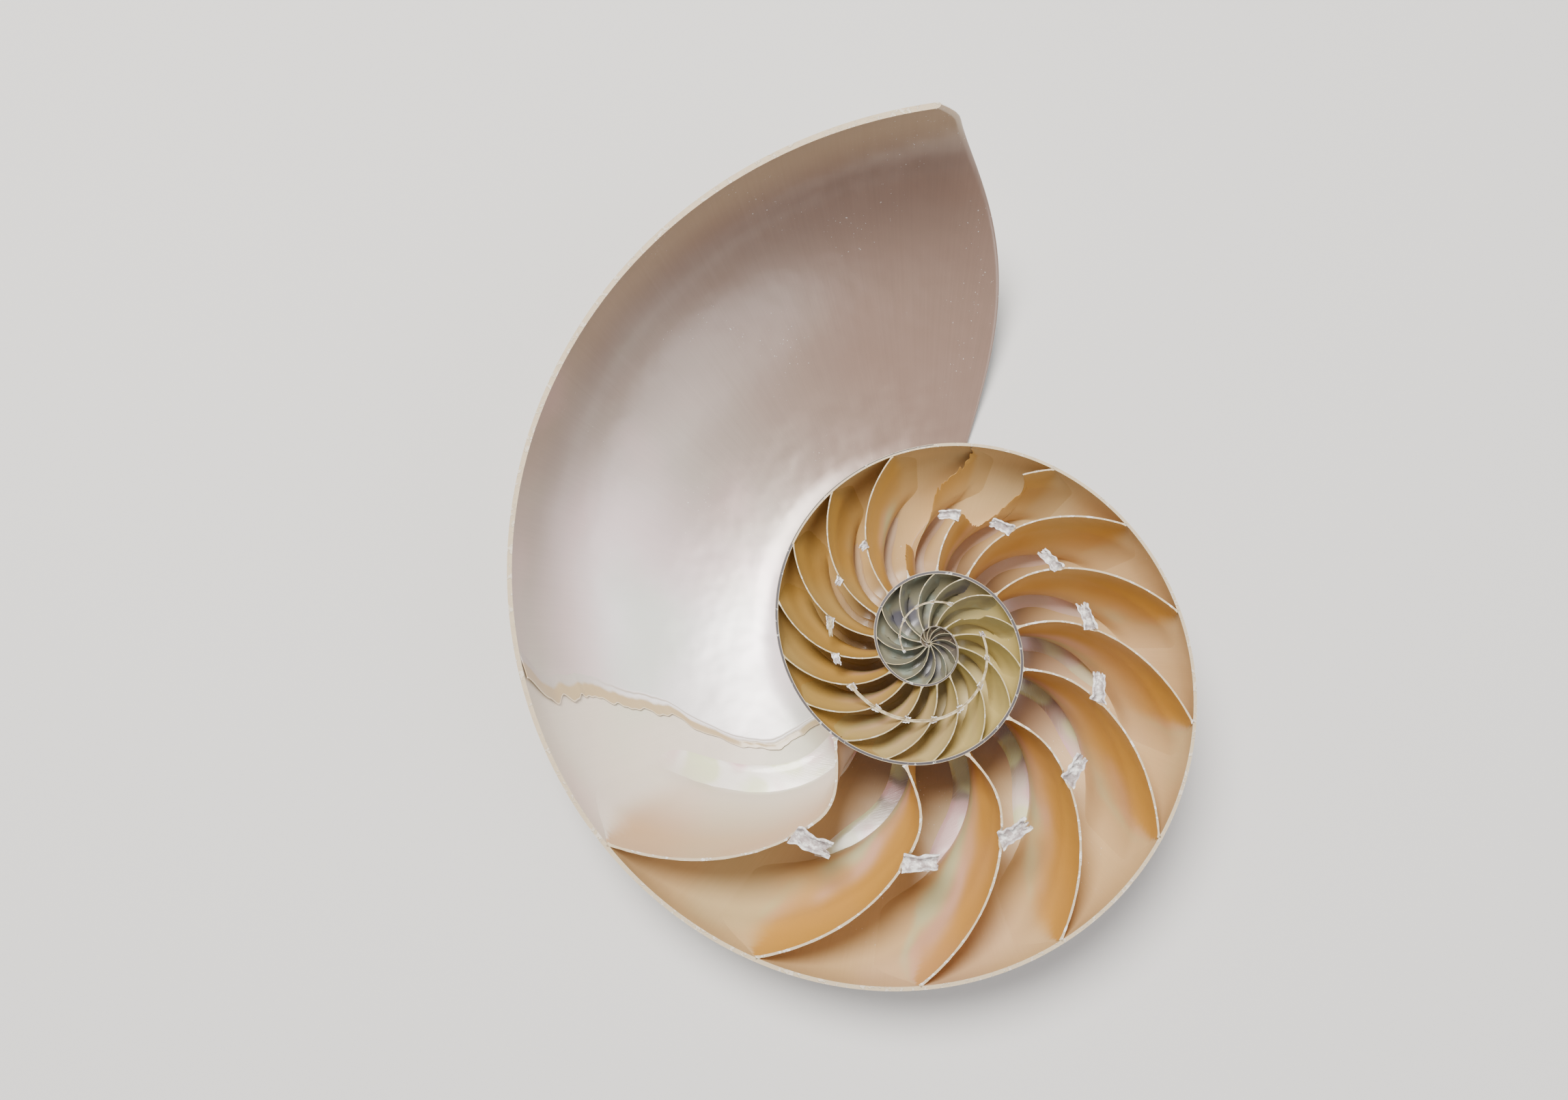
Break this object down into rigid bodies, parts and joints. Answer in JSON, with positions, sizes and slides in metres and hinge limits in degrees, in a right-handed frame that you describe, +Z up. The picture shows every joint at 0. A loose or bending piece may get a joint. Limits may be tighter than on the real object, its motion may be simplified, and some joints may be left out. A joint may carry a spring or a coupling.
{
  "type": "nautilus shell half",
  "caption": "Half of a chambered nautilus shell, sawn through its plane of symmetry, lying on its round side with the spiral of chambers facing up.",
  "frame": {"origin": "centre of the bounding box at its base, on the surface the shell lies on", "axes": "+Z up; the mouth's keel points to +Y and is the raised end; the coil runs clockwise towards the mouth when seen from above"},
  "size_m": [0.1144, 0.1466, 0.0446],
  "materials": {
    "pearl": "satin mother of pearl with a weak play of pink and green",
    "partition": "golden tan pearl, satin",
    "porcelain": "glossy white with rust-brown flame stripes"
  },
  "bodies": {
    "root": {"shell_half": "pearl"}
  },
  "joints": []
}
